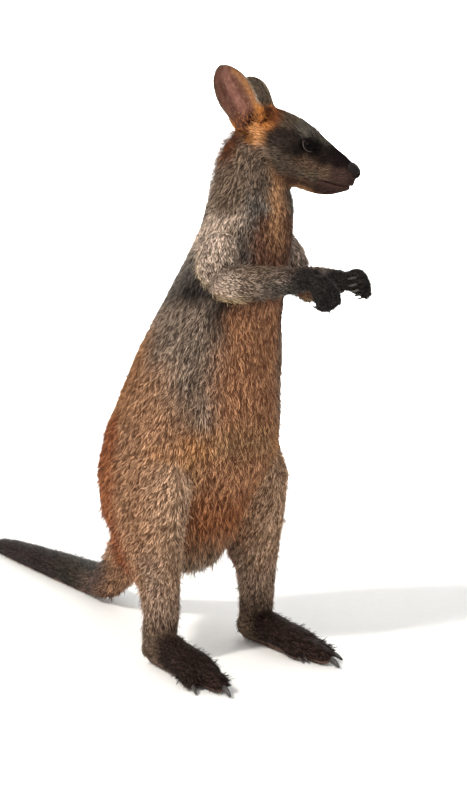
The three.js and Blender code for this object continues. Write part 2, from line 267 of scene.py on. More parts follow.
def readMesh(mesh):
    mesh.calc_loop_triangles()
    corners = np.empty(len(mesh.loop_triangles) * 3, np.int32)
    mesh.loop_triangles.foreach_get("vertices", corners)
    return pointsOf(mesh).astype(float), corners.reshape(-1, 3)


def merged(points, triangles):  # loose triangles joined where their corners meet
    _, first, back = np.unique(np.round(points, 6), axis=0, return_index=True, return_inverse=True)
    triangles = back.reshape(-1)[triangles]
    keep = (triangles[:, 0] != triangles[:, 1]) & (triangles[:, 1] != triangles[:, 2]) & (
        triangles[:, 2] != triangles[:, 0])
    return points[first], triangles[keep]


def vertexNormals(points, triangles):
    a, b, c = (points[triangles[:, k]] for k in range(3))
    flat = np.cross(b - a, c - a)
    total = np.zeros_like(points)
    for k in range(3):
        for axis in range(3):
            total[:, axis] += np.bincount(triangles[:, k], flat[:, axis], len(points))
    return unit(total)


def edgesOf(triangles):
    pairs = np.concatenate([triangles[:, [0, 1]], triangles[:, [1, 2]], triangles[:, [2, 0]]])
    return np.unique(np.sort(pairs, axis=1), axis=0)


def spread(values, edges, rounds, share=0.6):  # each vertex nears the mean of its neighbours, again and again
    values = np.array(values, float).reshape(len(values), -1)
    a, b = edges.T
    count = np.maximum(np.bincount(a, minlength=len(values)) + np.bincount(b, minlength=len(values)), 1)
    for _ in range(rounds):
        for k in range(values.shape[1]):
            column = values[:, k]
            near = np.bincount(a, column[b], len(values)) + np.bincount(b, column[a], len(values))
            values[:, k] = column + share * (near / count - column)
    return values


# Skin: one surface over all of the flesh.
skinSettings = dict(voxel=0.0023, grow=0.0004, smoothing=5, thinned=0.40)
sides = ("left", "right")
limbNodes = ["upper_arm", "forearm", "hand", "thigh", "shank", "foot"]
fleshNodes = ["belly", "chest", "hips", "neck", "head", "lower_jaw", "tail_root", "tail_tip"]
fleshNodes += [f"{limb}_{side}" for limb in limbNodes for side in sides]


def joinNodes(names):
    points, triangles, owner, start = [], [], [], 0
    for index, name in enumerate(names):
        p, t = merged(*readMesh(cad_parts[name].data))
        points.append(p)
        triangles.append(t + start)
        owner.append(np.full(len(t), index))
        start += len(p)
    return np.concatenate(points), np.concatenate(triangles), np.concatenate(owner)


def applied(block):  # the mesh that a scratch object's modifiers make; the object itself is removed
    bpy.context.view_layer.update()
    mesh = bpy.data.meshes.new_from_object(block.evaluated_get(bpy.context.evaluated_depsgraph_get()))
    bpy.data.objects.remove(block)
    return mesh


def remeshed(points, triangles, voxel):
    block = makeMesh("remesh_block", points, triangles, skinLook)
    remesh = block.modifiers.new("remesh", "REMESH")
    remesh.mode = "VOXEL"
    remesh.voxel_size = voxel
    return applied(block)


def thinned(mesh, keep, share):  # joins edges together away from keep(points), down to `share` of the faces
    block = bpy.data.objects.new("thinning_block", mesh)
    bpy.context.scene.collection.objects.link(block)
    group = block.vertex_groups.new(name="kept")
    group.add(np.nonzero(~keep(pointsOf(mesh)))[0].tolist(), 1.0, "REPLACE")
    thin = block.modifiers.new("thin", "DECIMATE")
    thin.ratio = share
    thin.vertex_group = "kept"
    result = applied(block)
    bpy.data.meshes.remove(mesh)
    return result


def splitFinely(mesh, pick):  # cuts each edge in two wherever pick(face centres) says so
    shape = bmesh.new()
    shape.from_mesh(mesh)
    chosen = pick(np.array([f.calc_center_median() for f in shape.faces]))
    edges = {e for f, yes in zip(shape.faces, chosen) if yes for e in f.edges}
    bmesh.ops.subdivide_edges(shape, edges=list(edges), cuts=1, use_grid_fill=True)
    shape.to_mesh(mesh)
    shape.free()


cadPoints, cadTriangles, cadOwner = joinNodes(fleshNodes + ["nose"])  # the skin runs on under the nose leather
cadOwner[cadOwner == len(fleshNodes)] = fleshNodes.index("head")
cadTree = BVHTree.FromPolygons(cadPoints.tolist(), cadTriangles.tolist())
swollen = cadPoints + skinSettings["grow"] * vertexNormals(cadPoints, cadTriangles)
skinMesh = remeshed(swollen, cadTriangles, skinSettings["voxel"])
print("remeshed:", len(skinMesh.vertices))


def inHeadRegion(places):
    h = toHead(places)
    return (h[:, 1] < 22) & (np.linalg.norm(h - [0, -35, -2], axis=1) < 105)


def inHandOrFoot(places):
    b = inBody(places)
    level = (b[:, 2] > 480) & (b[:, 2] < 600)
    hand = level & (b[:, 1] < -290) & (np.abs(b[:, 0]) < 90)
    hand |= level & (b[:, 1] < -250) & (b[:, 0] > 15)
    return hand | ((b[:, 2] < 52) & (b[:, 1] < 60))


def inFineRegion(places):  # round the eyes, and the muzzle and lips
    local = outAheadUp(toHead(places))
    fromEye = np.linalg.norm(local - (eyeAt + [6, 0, 0]), axis=1)
    return inHeadRegion(places) & ((fromEye < 19) | (local[:, 1] > 76))


skinMesh = thinned(skinMesh, lambda places: inHeadRegion(places) | inHandOrFoot(places),
                   skinSettings["thinned"])
print("thinned:", len(skinMesh.vertices))
splitFinely(skinMesh, inFineRegion)
skinPoints, skinTriangles = readMesh(skinMesh)
bpy.data.meshes.remove(skinMesh)
skinEdges = edgesOf(skinTriangles)
print("skin:", len(skinPoints), "points,", len(skinTriangles), "triangles")


# Each round goes towards the mean of the neighbours, then nearly as far back, so that the volume is kept.
def evened(points, edges, rounds):
    for _ in range(rounds):
        points = spread(points, edges, 1, 0.6)
        points = spread(points, edges, 1, -0.5)
    return points


soleLevel = skinPoints[:, 2] < 0.0035
skinPoints = evened(skinPoints, skinEdges, skinSettings["smoothing"])
skinNormals = vertexNormals(skinPoints, skinTriangles)


def ownersOf(points):
    return np.array([cadOwner[cadTree.find_nearest(p)[2]] for p in points.tolist()])


skinOwner = ownersOf(skinPoints)
body = inBody(skinPoints)
headed = inHead(body)
ahead, upward, aside = -headed[:, 1], headed[:, 2], headed[:, 0]


def isNode(*starts):
    found = [i for i, n in enumerate(fleshNodes) if n.startswith(tuple(starts))]
    return np.isin(skinOwner, found)


onHead, onTrunk = isNode("head", "lower_jaw"), isNode("belly", "chest", "hips", "neck")
onTail, onFoot, onHand = isNode("tail"), isNode("foot"), isNode("hand")
onArm, onLeg = isNode("upper_arm", "forearm", "hand"), isNode("thigh", "shank", "foot")
onRight = np.isin(skinOwner, [i for i, n in enumerate(fleshNodes) if n.endswith("right")])

# Colours of the coat.
# Each coat colour is [light band of the hairs, dark guard hairs and shade between them].
coatColours = dict(
    silver=("#fde1ca", "#544237"),
    cream=("#ffe2a4", "#a36f45"),
    grizzle=("#937c68", "#2c1f18"),
    greyGrizzle=("#907a69", "#2c211a"),
    smoke=("#a48f7d", "#40332c"),
    darkSmoke=("#82786f", "#322c26"),
    band=("#322c2b", "#0f0b0a"),
    buff=("#e3ba99", "#74543d"),
    brownBuff=("#ca9975", "#62412b"),
    brown=("#bb8356", "#55311a"),
    rust=("#ab653e", "#5c2a14"),
    rustDeep=("#b16d43", "#5f2f1a"),
    orange=("#d19662", "#844f2b"),
    orangeDeep=("#c27b3f", "#6e3513"),
    belly=("#d29970", "#7a4a33"),
    bellyBright=("#c3976f", "#774d30"),
    bellyShade=("#c47e53", "#6d3e23"),
    chest=("#906753", "#45291c"),
    throat=("#edb484", "#84563a"),
    crotch=("#bb9f84", "#715947"),
    nape=("#794626", "#2c1107"),
    crown=("#665646", "#231a14"),
    brow=("#6c655a", "#211c19"),
    maskBack=("#322621", "#0f0908"),
    mask=("#1c120e", "#070404"),
    muzzle=("#1a1110", "#080405"),
    cheek=("#635446", "#201812"),
    gold=("#6b5443", "#281d15"),
    lip=("#4e3a33", "#241816"),
    chin=("#4a3630", "#2a1c19"),
    jaw=("#553d2f", "#25170f"),
    hand=("#3a3431", "#0e0c0b"),
    foot=("#43312b", "#120c09"),
    footGrizzle=("#927863", "#322620"),
    heel=("#ac9279", "#534031"),
    shin=("#c4a48c", "#5b4335"),
    tailMid=("#765b4d", "#33251e"),
    tailDark=("#433a2e", "#18140f"),
    tailBlack=("#3e302d", "#140f0e"),
)
colourNames = list(coatColours)
lightLinear = np.array([toLinear(v[0]) for v in coatColours.values()])
darkLinear = np.array([toLinear(v[1]) for v in coatColours.values()])

# Trunk: [height, then the colour at each turn away from the middle of the belly].
trunkTurns = [0, 22, 37, 56, 85, 130, 180]
trunkMarks = [
    (125, "crotch crotch crotch bellyShade rust rust rust"),
    (190, "bellyShade bellyShade belly rust rust rust rust"),
    (270, "belly belly bellyBright brownBuff brownBuff rust brown"),
    (312, "bellyBright bellyBright orange brownBuff brownBuff brown brown"),
    (350, "belly belly smoke brownBuff brownBuff brown brown"),
    (400, "belly belly smoke smoke brownBuff brown brown"),
    (445, "belly belly smoke smoke smoke brown brown"),
    (490, "belly belly band smoke smoke smoke darkSmoke"),
    (525, "chest chest band band band darkSmoke darkSmoke"),
    (562, "chest chest darkSmoke band darkSmoke darkSmoke darkSmoke"),
    (602, "throat chest darkSmoke grizzle silver silver darkSmoke"),
    (620, "throat chest darkSmoke silver silver smoke darkSmoke"),
    (642, "throat darkSmoke darkSmoke grizzle grizzle greyGrizzle greyGrizzle"),
    (675, "throat greyGrizzle greyGrizzle grizzle grizzle grizzle nape"),
    (715, "throat jaw grizzle grizzle nape nape nape"),
]
# Legs: [height, then the colour at each turn from the inner side, by the front, to the back].
legTurns = [-90, 0, 45, 90, 135, 180]
legMarks = [
    (10, "heel foot footGrizzle heel heel heel"),
    (30, "heel foot footGrizzle heel heel heel"),
    (55, "footGrizzle footGrizzle footGrizzle footGrizzle shin shin"),
    (80, "shin shin shin shin shin shin"),
    (130, "shin buff shin brownBuff rust rust"),
    (180, "bellyShade buff brownBuff brownBuff rust rust"),
    (230, "belly buff brownBuff brownBuff rustDeep rustDeep"),
    (280, "belly buff brownBuff brownBuff rustDeep rustDeep"),
    (308, "bellyBright orange brownBuff brownBuff rust rust"),
    (335, "bellyBright brownBuff brownBuff brownBuff rust brown"),
    (360, "belly brownBuff brownBuff brown brown brown"),
]
legRows = np.array([(14, 94, -29), (34, 94, -31), (62, 93, -35), (96, 92, -31), (132, 89, -15), (170, 86, 11),
                    (214, 83, 21), (262, 81, 20), (308, 78, 27), (344, 74, 30)], float)
legShift = dict(right=(0, 0), left=(-10, 21))  # how far back the knee and the ankle stand
trunkRows = np.array([(104, 0, 46), (180, 0, 49), (224, 0, 42), (272, 0, 22), (322, 0, 6), (372, 0, -6),
                      (425, 0, -24), (474, 0, -43), (522, 0, -67), (566, 0, -91), (606, 0, -108),
                      (638, 0, -117), (670, 2, -114), (704, 6, -112), (746, 11, -112)], float)
armPoints = dict(
    right=np.array([(-45, -108, 600), (-82, -146, 534), (-40, -294, 550), (-46, -330, 527)], float),
    left=np.array([(43, -96, 602), (80, -128, 524), (45, -254, 541), (49, -292, 541)], float),
)
# Arms: [how far along, 0 shoulder, 1 elbow, 2 wrist, 3 knuckles], then front, side and rear edge.
armTurns = [0, 90, 180]
armMarks = [
    (-0.4, "greyGrizzle grizzle smoke"),
    (0.0, "silver silver silver"),
    (0.55, "silver silver cream"),
    (0.95, "smoke silver cream"),
    (1.15, "smoke silver cream"),
    (1.45, "grizzle smoke smoke"),
    (1.7, "greyGrizzle darkSmoke darkSmoke"),
    (1.88, "band band darkSmoke"),
    (2.1, "hand hand hand"),
    (3.4, "hand hand hand"),
]
# Tail: [distance back, then top, side and underside].
tailMarks = [
    (100, "rust rust rust"),
    (190, "rust rust rust"),
    (222, "tailMid brownBuff brownBuff"),
    (262, "tailMid tailMid brownBuff"),
    (330, "tailDark tailMid tailMid"),
    (420, "tailDark tailDark tailDark"),
    (520, "tailBlack tailBlack tailBlack"),
    (780, "tailBlack tailBlack tailBlack"),
]
# Head: places in its own frame as (out to the side, ahead, up), with the colour there.
headMarks = [
    ((8, 8, 38), "crown"), ((24, 10, 32), "crown"), ((8, 34, 36), "brow"), ((20, 34, 30), "brow"),
    ((6, 58, 29), "brow"), ((17, 60, 24), "mask"), ((5, 84, 22), "mask"), ((13, 82, 16), "muzzle"),
    ((34, 22, 16), "maskBack"), ((36, 6, 14), "maskBack"), ((33, 40, 4), "mask"), ((27, 62, 8), "mask"),
    ((24, 74, 0), "mask"), ((16, 94, 7), "muzzle"), ((6, 104, 15), "muzzle"), ((32, 30, 26), "maskBack"),
    ((38, -4, 4), "maskBack"), ((36, 24, -2), "maskBack"), ((37, 5, -1), "maskBack"), ((36, 14, -12), "cheek"),
    ((35, 30, -18), "cheek"), ((30, 54, -10), "gold"),
    ((26, 66, -8), "gold"), ((21, 80, -9), "gold"), ((29, 54, -22), "cheek"), ((33, 28, -30), "cheek"),
    ((24, 74, -20), "cheek"), ((18, 100, -4), "lip"), ((16, 106, -12), "lip"), ((14, 100, -24), "chin"),
    ((5, 112, -25), "chin"), ((18, 86, -30), "chin"), ((22, 66, -36), "jaw"), ((24, 46, -42), "jaw"),
    ((10, 60, -46), "throat"), ((12, 30, -48), "throat"), ((28, 12, -40), "jaw"), ((33, -6, -22), "grizzle"),
    ((34, -23, 4), "orange"), ((34, -12, -2), "orange"), ((30, -34, -6), "orangeDeep"),
    ((33, -14, 14), "orangeDeep"), ((24, -10, 28), "nape"), ((8, -14, 37), "nape"), ((0, -34, 26), "nape"),
    ((18, -34, 20), "nape"), ((24, -38, -20), "grizzle"), ((10, -38, 0), "nape"), ((28, -20, -28), "grizzle"),
]


def tableWeights(rows, turns, height, turn):
    # Weight of every coat colour at each vertex: eased blends between the table's rows and its columns.
    heights = [row[0] for row in rows]
    marks = np.array([[colourNames.index(c) for c in row[1].split()] for row in rows])
    h = np.clip(np.interp(height, heights, np.arange(len(heights))), 0, len(heights) - 1.0001)
    t = np.clip(np.interp(turn, turns, np.arange(len(turns))), 0, len(turns) - 1.0001)
    i, j = h.astype(int), t.astype(int)
    h, t = smoothStep(0, 1, h - i), smoothStep(0, 1, t - j)
    weights = np.zeros((len(height), len(colourNames)))
    at = np.arange(len(height))
    for di, dj, w in ((0, 0, (1 - h) * (1 - t)), (1, 0, h * (1 - t)), (0, 1, (1 - h) * t), (1, 1, h * t)):
        np.add.at(weights, (at, marks[i + di, j + dj]), w)
    return weights


def wave(p, size, seed):  # a smooth field, mostly -1 to 1, with swells about `size` mm apart: a sum of sines
    draw = np.random.default_rng(seed)
    total = np.zeros(len(p))
    for _ in range(6):
        k = unit(draw.normal(size=3)) * 2 * np.pi / (size * draw.uniform(0.7, 1.5))
        total += np.sin(p @ k + draw.uniform(0, 6.28))
    return total / 3


def along(path, points):  # how far along a bent line each point is: the vertex's number plus its share
    best = np.full(len(points), 1e9)
    where, foot = np.zeros(len(points)), np.zeros_like(points)
    for i in range(len(path) - 1):
        a, d = path[i], path[i + 1] - path[i]
        t = (points - a) @ d / (d @ d)
        t = np.clip(t, -0.6 if i == 0 else 0, 1.6 if i == len(path) - 2 else 1)
        near = a + t[:, None] * d
        gap = np.linalg.norm(points - near, axis=1)
        better = gap < best
        best[better], where[better], foot[better] = gap[better], i + t[better], near[better]
    return where, foot


# The field of the coat at each vertex: colour weights, lie, length and lift.
def coatFields():
    count = len(body)
    weights = np.zeros((count, len(colourNames)))
    lie = np.zeros((count, 3))
    length = np.full(count, 16.0)
    lift = np.full(count, 20.0)
    wobble = np.stack([wave(body, 46, s) for s in (5, 6, 7)], 1)

    # trunk: by height and by the turn away from the middle of the belly
    m = onTrunk
    b = body[m] + 5 * wobble[m]
    middle = np.stack([np.interp(b[:, 2], trunkRows[:, 0], trunkRows[:, k]) for k in (1, 2)], 1)
    out = b[:, :2] - middle
    turn = np.degrees(np.arctan2(np.abs(out[:, 0]), -out[:, 1]))
    weights[m] = tableWeights(trunkMarks, trunkTurns, b[:, 2], turn)
    front = smoothStep(60, 20, turn)
    lie[m] = np.stack([0.18 * np.sign(out[:, 0]) * (1 - front), 0.35 * (1 - front), -np.ones(len(b))], 1)
    length[m] = 11.5 + 6 * front * smoothStep(320, 200, b[:, 2]) - 3 * smoothStep(540, 640, b[:, 2])
    nape = smoothStep(95, 135, turn) * smoothStep(610, 670, b[:, 2])
    lift[m] = 18 + 9 * front * smoothStep(260, 150, b[:, 2]) + 24 * nape
    length[m] += 5 * nape

    for side, sign in (("right", -1), ("left", 1)):
        # leg: by height and by the turn round its own axis
        m = onLeg & (onRight == (side == "right"))
        b = body[m] + 4 * wobble[m]
        knee, ankle = legShift[side]
        backBy = knee + (ankle - knee) * np.clip((205 - b[:, 2]) / 115, 0, 1)
        axisX = sign * np.interp(b[:, 2], legRows[:, 0], legRows[:, 1])
        axisY = np.interp(b[:, 2], legRows[:, 0], legRows[:, 2]) + backBy
        turn = np.degrees(np.arctan2(sign * (b[:, 0] - axisX), -(b[:, 1] - axisY)))
        turn = np.where(turn < -120, 180, turn)
        weights[m] = tableWeights(legMarks, legTurns, b[:, 2], turn)
        lie[m] = np.stack([0 * turn, 0.55 * smoothStep(60, 130, b[:, 2]), -np.ones(len(b))], 1)
        length[m] = np.interp(b[:, 2], [20, 70, 130, 200, 330], [8, 8, 9, 11, 12])
        lift[m] = 17
        # foot: dark from the instep to the toes
        f = onFoot & m
        b, footAhead = body[f], -(body[f][:, 1] - (-11 if side == "right" else 19))
        turned = math.radians(10 if side == "right" else 4)
        toes = np.array([-math.sin(turned), -math.cos(turned), -0.08])
        top = smoothStep(58, 30, b[:, 2])[:, None]
        lie[f] = toes * top + (1 - top) * np.array([0, -0.25, -1])
        length[f] = np.interp(footAhead, [0, 60, 150, 215], [6, 7.5, 9.5, 9.5])
        dark = np.zeros(len(colourNames))
        dark[colourNames.index("foot")] = 1
        blend = (smoothStep(45, 80, footAhead + 0.6 * b[:, 2] - 14) * smoothStep(62, 44, b[:, 2]))[:, None]
        weights[f] = (1 - blend) * weights[f] + blend * dark

        # arm: by the share along its bones and by the turn from its front to its rear edge
        m = onArm & (onRight == (side == "right"))
        b = body[m] + 3 * wobble[m]
        path = armPoints[side]
        where, foot = along(path, b)
        steps = np.diff(path, axis=0)
        bone = unit(np.stack([np.interp(where, [0.5, 1.5, 2.5], steps[:, k]) for k in range(3)], 1))
        out = unit(b - foot)
        rear = np.array([0, 1, -0.6])
        rearSide = unit(rear - (bone @ rear)[:, None] * bone)
        turn = np.degrees(np.arccos(np.clip(-(out * rearSide).sum(1), -1, 1)))
        inner = (smoothStep(0.25, 0.8, -sign * out[:, 0]) * smoothStep(1.7, 1.3, where))[:, None]
        brown = np.zeros(len(colourNames))
        brown[[colourNames.index("chest"), colourNames.index("brownBuff")]] = 0.5
        weights[m] = (1 - inner) * tableWeights(armMarks, armTurns, where, turn) + inner * brown
        lie[m] = bone + np.array([0, 0, -0.35]) * smoothStep(1.6, 0.8, where)[:, None]
        length[m] = np.interp(where, [0, 1, 1.5, 2, 2.7], [9, 10, 8.5, 7.5, 6])
        lift[m] = np.interp(where, [0, 1, 2, 3], [17, 20, 15, 16])

    # tail: by the distance back and by how far the skin faces down
    m = onTail
    b = body[m] + 4 * wobble[m]
    turn = np.degrees(np.arccos(np.clip(skinNormals[m][:, 2], -1, 1)))
    weights[m] = tableWeights(tailMarks, [30, 90, 150], b[:, 1], turn)
    slope = np.interp(b[:, 1], [92, 250, 312, 400, 768], [-1.0, -0.9, -0.35, -0.06, -0.03])
    lie[m] = np.stack([0.26 + 0 * slope, 1 + 0 * slope, slope], 1)
    length[m] = np.interp(b[:, 1], [100, 250, 400, 768], [15, 12, 10, 8])
    lift[m] = np.interp(b[:, 1], [100, 300, 768], [17, 13, 12])

    # head: every mark, with a weight of 1 / (distance squared + 4) to the power 2.6
    m = onHead
    h = outAheadUp(headed[m]) + 1.5 * wobble[m]
    places = np.array([p for p, _ in headMarks], float)
    gap = np.linalg.norm(h[:, None] - places[None], axis=2) ** 2 + 4
    w = gap**-2.6
    w /= w.sum(1, keepdims=True)
    for k, (_, name) in enumerate(headMarks):
        weights[m, colourNames.index(name)] += w[:, k]
    back = np.stack([0.25 * np.sign(aside[m]) * smoothStep(0, 20, np.abs(aside[m])), np.ones(m.sum()),
                     -0.3 * smoothStep(10, -30, upward[m])], 1)
    lie[m] = back @ headTurned.T
    length[m] = np.interp(ahead[m], [-40, -20, 10, 60, 90, 118], [14, 11, 7.5, 5, 3, 2.4])
    lift[m] = np.interp(ahead[m], [-40, -10, 20, 90, 118], [40, 24, 14, 9, 6])
    return weights, lie, length, lift


coatWeights, coatLie, coatLength, coatLift = coatFields()
lightAt = spread(coatWeights @ lightLinear, skinEdges, 4)
darkAt = spread(coatWeights @ darkLinear, skinEdges, 4)
coatLie = spread(unit(coatLie), skinEdges, 25)
coatLength = spread(coatLength, skinEdges, 10)[:, 0]
coatLift = spread(coatLift, skinEdges, 10)[:, 0]
print("coat fields laid out")

# The skin lies inside the forms by the depth of the coat; the face gets its folds.
faceShape = dict(browRise=2.2, cheekRise=1.0, snoutHollow=1.6, mouthDepth=2.2, upperLip=0.9, lowerLip=0.8,
                 underBall=1.6, drawnIn=(16, 8.5))  # millimetres
depthSettings = dict(share=0.28, sole=0.3, hand=0.5, toes=1.0)  # share of the hairs' length, then millimetres
coatDepth = depthSettings["share"] * coatLength
coatDepth[soleLevel] = depthSettings["sole"]
coatDepth[onHand] = depthSettings["hand"]
coatDepth -= (coatDepth - depthSettings["toes"]) * onFoot * smoothStep(-90, -130, body[:, 1]) * ~soleLevel
coatDepth = spread(coatDepth, skinEdges, 5)[:, 0]
skinPoints -= coatDepth[:, None] / 1000 * skinNormals
skinPoints = evened(skinPoints, skinEdges, 2)

# where thigh and trunk meet, the skin is drawn smooth from one to the other
joint = smoothStep(255, 300, body[:, 2]) * smoothStep(430, 390, body[:, 2]) * (onLeg | onTrunk)
relaxed = spread(skinPoints, skinEdges, 40)
skinPoints += joint[:, None] * (relaxed - skinPoints)

# small features shrink when they are smoothed, so the muzzle, fingers and toes are brought back to their forms
broughtBack = 0.85
small = np.clip(smoothStep(86, 98, ahead) * onHead + onHand + onFoot * smoothStep(-60, -110, body[:, 1]), 0, 1)
for i in np.nonzero(small > 0)[0]:
    place, way = cadTree.find_nearest(skinPoints[i])[:2]
    form = np.array(place) - coatDepth[i] / 1000 * np.array(way)
    skinPoints[i] += small[i] * broughtBack * (form - skinPoints[i])
skinPoints += small[:, None] * (spread(skinPoints, skinEdges, 2) - skinPoints)


def bump(gap, size):
    return np.exp(-((gap / size) ** 2))


def mouthLine(ahead):  # height of the slit of the mouth
    return np.interp(ahead, [76, 84, 100, 112, 121], [-24, -22, -20.5, -17, -15])


def lipMiddle(ahead):  # height of the middle of the bare lips
    return np.interp(ahead, [84, 100, 121], [-23, -21, -15])


def shapeFace(points):
    h = toHead(points)
    side = np.sign(h[:, 0])
    local = outAheadUp(h)
    face = onHead.astype(float)
    lift = np.zeros(len(points))
    lift += faceShape["browRise"] * bump(np.linalg.norm(local - [24, 42, 27], axis=1), 9)
    lift += faceShape["cheekRise"] * bump(np.linalg.norm(local - [31, 34, -12], axis=1), 16)
    lift -= faceShape["snoutHollow"] * bump(np.linalg.norm(local - [26, 66, 6], axis=1), 9)
    lips = smoothStep(74, 82, local[:, 1])
    off = local[:, 2] - mouthLine(local[:, 1])
    lift -= faceShape["mouthDepth"] * bump(off, 1.3) * lips
    upper = faceShape["upperLip"] * bump(off - 4, 2.6) * lips
    lift += upper + faceShape["lowerLip"] * bump(off + 4, 2.6) * lips
    points = points + (lift * face)[:, None] / 1000 * skinNormals
    # round each eye the skin is drawn in, towards a level a little under the ball's surface
    local = outAheadUp(toHead(points))
    fromEye = local - eyeAt
    gap = np.linalg.norm(fromEye, axis=1, keepdims=True)
    want = eyePlace["radius"] - faceShape["underBall"]
    near = face * smoothStep(*faceShape["drawnIn"], gap[:, 0]) * (local[:, 0] > eyeAt[0] - 2)
    pulled = eyeAt + fromEye / np.maximum(gap, 1e-6) * np.minimum(gap, want + 0.3 * np.maximum(gap - want, 0))
    local += near[:, None] * (pulled - local)
    h = np.stack([side * local[:, 0], -local[:, 1], local[:, 2]], 1)
    return np.where(face[:, None] > 0, fromHead(h), points)


skinPoints = shapeFace(skinPoints)
skinPoints[:, 2] = np.maximum(skinPoints[:, 2], 0.0004)
skinNormals = vertexNormals(skinPoints, skinTriangles)


# Surfaces on a grid.
def gridFaces(rows, columns, closed):  # four-cornered faces between the rows of a grid of points
    r, c = np.meshgrid(np.arange(rows - 1), np.arange(columns if closed else columns - 1), indexing="ij")
    here, beside = r * columns + c, r * columns + (c + 1) % columns
    return np.stack([here, beside, beside + columns, here + columns], -1).reshape(-1, 4)


def gridTriangles(rows, columns):  # two triangles to each face of a grid that closes on itself
    quads = gridFaces(rows, columns, True)
    return np.concatenate([quads[:, [0, 1, 2]], quads[:, [0, 2, 3]]])


extraPieces = []  # points, triangles and colours of the ears and lids, which are joined to the skin


def outward(points, triangles):  # turns a closed surface the right way out if it encloses less than nothing
    a, b, c = (points[triangles[:, k]] for k in range(3))
    return triangles if np.einsum("ij,ij->i", a, np.cross(b, c)).sum() > 0 else triangles[:, ::-1]


# Ears.
ears = dict(
    right=dict(root=(-25, 30, 1), tip=(-42, 103, 61), halfArc=31.0),
    left=dict(root=(-25, 28, 1), tip=(-58, 89, 50), halfArc=27.0),
)
earSettings = dict(open=(-0.93, -0.37, 0.05), widest=0.5, cup=0.2, wrap=(90, 54), bend=5.0, wall=0.8,
                   rows=64, columns=96)


def earLeaf(side, u, v, wall):
    # The ear is a rolled leaf. At share u of its length the skin is an arc that v runs across from rim to rim:
    # root + stem * length * u + radius * (sin, -cos) of v times the wrap, whose opening narrows to a tube.
    own, s, w = ears[side], earSettings, earSettings["widest"]
    root, tip, opened = (np.array(k, float) for k in (own["root"], own["tip"], s["open"]))
    stem = tip - root
    length = np.linalg.norm(stem)
    stem /= length
    opened = unit(opened - (opened @ stem) * stem)
    toFront = np.cross(stem, opened)
    taper = np.sqrt(np.clip(1 - np.abs(np.clip((u - w) / (1 - w), 0, 1)) ** 2.3, 0, 1))
    rootRound = np.sqrt(1 - (1 - np.minimum(1, u / s["cup"])) ** 2)
    halfArc = own["halfArc"] * np.where(u > w, taper, rootRound * (1 - 0.1 * ((w - u) / w) ** 2))
    wrap = np.radians(s["wrap"][0] + (s["wrap"][1] - s["wrap"][0]) * np.minimum(1, u / w))
    radius = halfArc / wrap
    off = np.minimum(np.abs(wall), 0.4 * radius) * np.sqrt(np.clip(1 - v**4, 0, 1))
    # long folds inside the leaf, and the rim rolled a little inwards
    ridge = 1.3 * np.cos(v * 9) * smoothStep(0.12, 0.4, u) * smoothStep(0.95, 0.6, u) * (1 - v**2)
    roll = 2.2 * smoothStep(0.72, 1, np.abs(v)) * smoothStep(0.1, 0.35, u)
    depth = radius + off * np.sign(wall) - ridge - roll
    angle = v * wrap
    middle = root + stem * (length * u)[..., None]
    bend = -s["bend"] * np.sin(np.pi * u)
    place = middle + toFront * (depth * np.sin(angle))[..., None] + opened * (
        radius - depth * np.cos(angle) + bend)[..., None]
    return place * ([-1, 1, 1] if side == "left" else [1, 1, 1])


def blended(mask, yes, no):
    return np.where(mask[:, None], toLinear(yes), toLinear(no))


def tinted(base, hexColour, share):  # each row of base goes its own share of the way to the colour
    return base + share[:, None] * (toLinear(hexColour) - base)


def earColour(u, v, inside, place):  # v is +1 at the front rim and -1 at the rear one
    skin = toLinear("#7d554a")[None] * (1.05 - 0.25 * np.abs(wave(place, 16, 3))[:, None] * 0.5)
    # painted shade: the inner skin is darker towards the root of the ear's cup
    skin = skin * (0.75 + 0.35 * smoothStep(0.15, 0.5, u))[:, None]
    skin = tinted(skin, "#a8744a", 0.75 * smoothStep(0.25, 0.62, v) * smoothStep(0.95, 0.85, u))
    skin = tinted(skin, "#6d4a3a", 0.7 * smoothStep(-0.4, -0.8, v))
    # painted shade in the grooves of the folds, and near black deep in the root of the cup
    skin = tinted(skin, "#4f3229", 0.6 * smoothStep(0.3, -0.5, np.cos(v * 9)) * smoothStep(0.95, 0.7, u))
    skin = tinted(skin, "#1d0f0c", smoothStep(0.36, 0.16, u + 0.25 * np.abs(v - 0.15)))
    skin = tinted(skin, "#b9a58c", 0.55 * smoothStep(0.9, 1.0, np.abs(v)))
    fur = tinted(toLinear("#3a2f26")[None] + 0 * skin, "#a0602c", smoothStep(0.34, 0.2, u))
    fur = tinted(fur, "#8a7257", 0.4 * smoothStep(0.8, 1.0, np.abs(v)))
    return np.where(inside[:, None], skin, fur)


